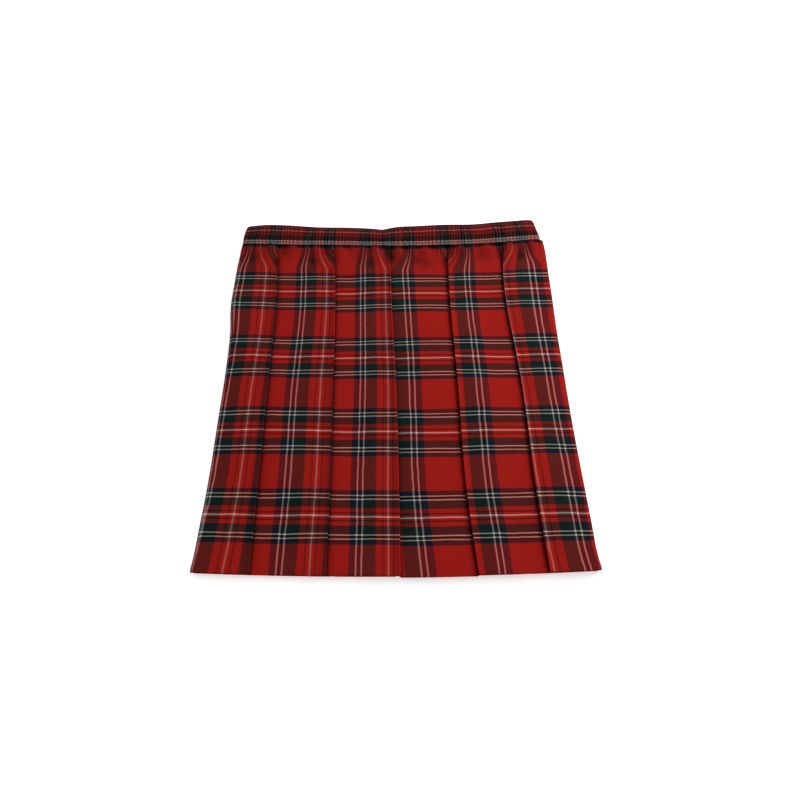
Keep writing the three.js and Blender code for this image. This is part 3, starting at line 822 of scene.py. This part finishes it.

# %% [markdown]
# ## Tartan twill
# A tartan has the same stripes in the warp and in the weft. From a single white line outwards
# come red, a black line, red, green, a pair of pale lines, navy and the wide red field, and then
# the order runs back. Where warp and weft cross, a twill shows half of each, in fine slanting
# ribs. So two sets of stripes are drawn and a slanting wave mixes them. The eye sees the mix of
# a light and a dark thread darker than their mean, because threads shade each other, so the
# ramps hold roots of the colours and a gamma at the end undoes the root. In the gathers the
# pale warp sinks into the furrows, where it gets painted shade, and the pale weft lies bare on
# the ridges, where it gets a painted highlight. The "shade" attribute darkens the colour as
# painted shade.

# %% Stripes
RED, GREEN, NAVY, BLACK = ((0.27, 0.006, 0.003), (0.0015, 0.008, 0.0075),
                           (0.0035, 0.004, 0.017), (0.0015, 0.0015, 0.002))
WHITE, CREAM, ROSE = (0.60, 0.56, 0.52), (0.54, 0.46, 0.31), (0.53, 0.49, 0.48)
ROOT = 2.5                     # how much darker than their mean two threads look together
PINK, DUSK = (0.38, 0.29, 0.28), (0.05, 0.0035, 0.0035)
WARP = [(0.0, PINK), (0.65, RED), (2.9, DUSK), (4.1, RED), (8.6, GREEN), (17.15, ROSE),
        (18.3, BLACK), (20.9, ROSE), (22.05, BLACK), (23.6, NAVY), (26.4, RED)]
WEFT = [(0.0, WHITE), (0.65, RED), (2.9, BLACK), (4.0, RED), (8.2, GREEN), (16.05, WHITE),
        (17.15, BLACK), (19.7, CREAM), (20.8, BLACK), (22.4, NAVY), (25.2, RED)]
SUNK_AND_SHADED = (0.16, 0.09, 0.09)      # pale warp threads that a furrow half hides, painted darker as painted shade
SHADED_GATHERED_WARP = [(at, SUNK_AND_SHADED if colour in (ROSE, PINK) else colour) for at, colour in WARP]
# the pale weft and the gap between its lines, painted lighter than the same weft elsewhere: a
# painted highlight on the gathers' ridges
BARED_AND_LIT = {16.05: (0.80, 0.76, 0.72), 17.15: (0.24, 0.17, 0.16), 19.7: (0.70, 0.63, 0.50)}
LIT_GATHERED_WEFT = [(at, BARED_AND_LIT.get(at, colour)) for at, colour in WEFT]
SETT_V, WHITE_V = 84.0, 51.6   # the weft's repeat, and its first white line above the hem
BLEND = 0.3                    # half the width over which one stripe turns into the next
THREAD = 0.36                  # from one thread to the next


def stripes(along, sett, first, table):
    """Mirrored stripes: a table says where each colour starts, seen from a white line."""
    half = sett / 2
    away = (along - first).math("PINGPONG", half)
    table = [(at, tuple(c ** (1 / ROOT) for c in colour)) for at, colour in table]
    stops = []
    for (at, colour), (_, before) in zip(table[1:], table):
        stops += [((at - BLEND) / half, before), ((at + BLEND) / half, colour)]
    return Value.node("ShaderNodeValToRGB", {"stops": [(0.0, table[0][1])] + stops},
                      {"Fac": away / half})


def tartan(name, shade, weave, weft_table=WEFT):
    made = material(name)
    place = Value.node("ShaderNodeUVMap", {"uv_map": "cloth"})
    across = Value.node("ShaderNodeSeparateXYZ", None, {0: place}, out=0) * 1000.0
    up = Value.node("ShaderNodeSeparateXYZ", None, {0: place}, out=1) * 1000.0
    flat = Value.node("ShaderNodeCombineXYZ", None, {0: across, 1: up})
    wobble = (flat_noise(flat, 0.07, 2.0) - 0.5) * 0.8
    drawn = Value.node("ShaderNodeAttribute", {"attribute_name": "drawn up"}, out="Fac")
    bowed = across + wobble
    # where the cloth is drawn up, the pale warp lines take painted shade
    warp = mixed(drawn, stripes(bowed, SETT, 0.0, WARP),
                 stripes(bowed, SETT, 0.0, SHADED_GATHERED_WARP))
    weft = stripes(up + wobble, SETT_V, WHITE_V, weft_table)
    slant = wave(across + up, 4 * THREAD)
    loose = flat_noise(flat, 2.4, 2.0) - 0.5
    show = (slant * 0.13 + loose * 0.3 + 0.455).between(0.0, 1.0)
    cloth = Value.node("ShaderNodeGamma", None, {"Color": mixed(show, weft, warp), "Gamma": ROOT})
    slow, nap = flat_noise(flat, 0.035, 3.0), flat_noise(flat, 1.6, 3.0)
    # painted shade: the "shade" attribute darkens the colour in gaps, furrows, hollows and under
    # the casing's edge
    painted_shade = Value.node("ShaderNodeAttribute", {"attribute_name": "shade"}, out="Fac")
    tone_and_shade = (slow * 0.16 + nap * 0.22 + 0.81) * (1.0 - painted_shade * 0.95) * shade
    cloth = Value.node("ShaderNodeVectorMath", {"operation": "SCALE"}, {0: cloth, 3: tone_and_shade})
    ribs = wave(across, THREAD) * 0.25 + wave(up, THREAD) * 0.25
    height = slant * 0.4 + ribs + nap * 1.2
    relief = Value.node("ShaderNodeBump", None,
                        {"Strength": weave, "Distance": 0.00012, "Height": height})
    surface = Value.node("ShaderNodeBsdfPrincipled", None, {
        "Base Color": cloth, "Roughness": 0.86, "Specular IOR Level": 0.05,
        "Sheen Weight": 0.012, "Sheen Roughness": 0.5, "Sheen Tint": (1.0, 0.86, 0.8, 1.0),
        "Normal": relief})
    Value.node("ShaderNodeOutputMaterial", None, {"Surface": surface})
    return made


skirt.data.materials.append(tartan("tartan twill", 1.0, 0.6))
# the casing's copy of the tartan is painted a little darker (0.95) as painted shade, and takes
# the weft with the painted highlight
casing.data.materials.append(tartan("tartan casing", 0.95, 0.6, LIT_GATHERED_WEFT))
print("stripes in half a sett:", len(WARP))

# %% [markdown]
# ## Sewing thread
# The thread is a dark red that sinks into the checks. Its plies twist, which a fine slanting
# wave hints at in colour and in relief.

# %% Thread material
thread_paint = material("sewing thread")
spot = Value.node("ShaderNodeTexCoord", out="Object")
ply = Value.node("ShaderNodeTexWave", {"bands_direction": "DIAGONAL"},
                 {"Vector": spot, "Scale": 900.0, "Distortion": 1.0})
lint = Value.node("ShaderNodeTexNoise", None, {"Vector": spot, "Scale": 1800.0, "Detail": 2.0})
ply_share = Value.node("ShaderNodeSeparateColor", None, {"Color": ply}) * 0.6 + lint * 0.4
twist = Value.node("ShaderNodeBump", None, {"Strength": 0.4, "Distance": 0.0001,
                                            "Height": ply_share})
fibre = Value.node("ShaderNodeBsdfPrincipled", None, {
    "Base Color": mixed(ply_share, (0.09, 0.008, 0.010, 1), (0.20, 0.022, 0.024, 1)),
    "Roughness": 0.7, "Specular IOR Level": 0.2, "Normal": twist})
Value.node("ShaderNodeOutputMaterial", None, {"Surface": fibre})
for sewn in (hem_thread, casing_thread):
    sewn.data.materials.append(thread_paint)
print("thread on", hem_thread.name, "and", casing_thread.name)

# %% [markdown]
# ## Table top and light
# A pale light table, whose own faint glow keeps shadows soft, and large lights let the cloth
# show its own colours. The key is low and stands at the upper right, so the faces that lean
# towards it are bright, the others are duller, and the puckers under the casing stand out.

# %% Floor and lights
bpy.ops.mesh.primitive_plane_add(size=6.0, location=(0, 0, -0.0003))
floor = bpy.context.object
floor.name = "floor"
paint = material("pale floor")
grain = Value.node("ShaderNodeTexNoise", None, {"Scale": 60.0, "Detail": 2.0})
tint = mixed(grain, (0.85, 0.85, 0.85, 1), (0.87, 0.87, 0.87, 1))
top = Value.node("ShaderNodeBsdfPrincipled", None, {
    "Base Color": tint, "Roughness": 0.95, "Specular IOR Level": 0.1,
    "Emission Color": (1.0, 1.0, 1.0, 1.0), "Emission Strength": 0.55})
Value.node("ShaderNodeOutputMaterial", None, {"Surface": top})
floor.data.materials.append(paint)

world = bpy.data.worlds.new("studio")
scene.world = world
world.use_nodes = True
world.node_tree.nodes["Background"].inputs["Color"].default_value = (1.0, 1.0, 1.0, 1.0)
world.node_tree.nodes["Background"].inputs["Strength"].default_value = 0.58


def lamp(name, place, aim, size, power):
    data = bpy.data.lights.new(name, "AREA")
    data.size, data.energy = size, power
    made = bpy.data.objects.new(name, data)
    scene.collection.objects.link(made)
    made.location = place
    direction = np.array(aim) - np.array(place)
    made.rotation_euler = Vector(direction).to_track_quat("-Z", "Y").to_euler()
    return made


lamp("key", (0.75, 0.38, 0.52), (0, 0, 0), 0.45, 9)
lamp("fill", (-0.9, -0.9, 1.4), (0, 0, 0), 1.2, 5)
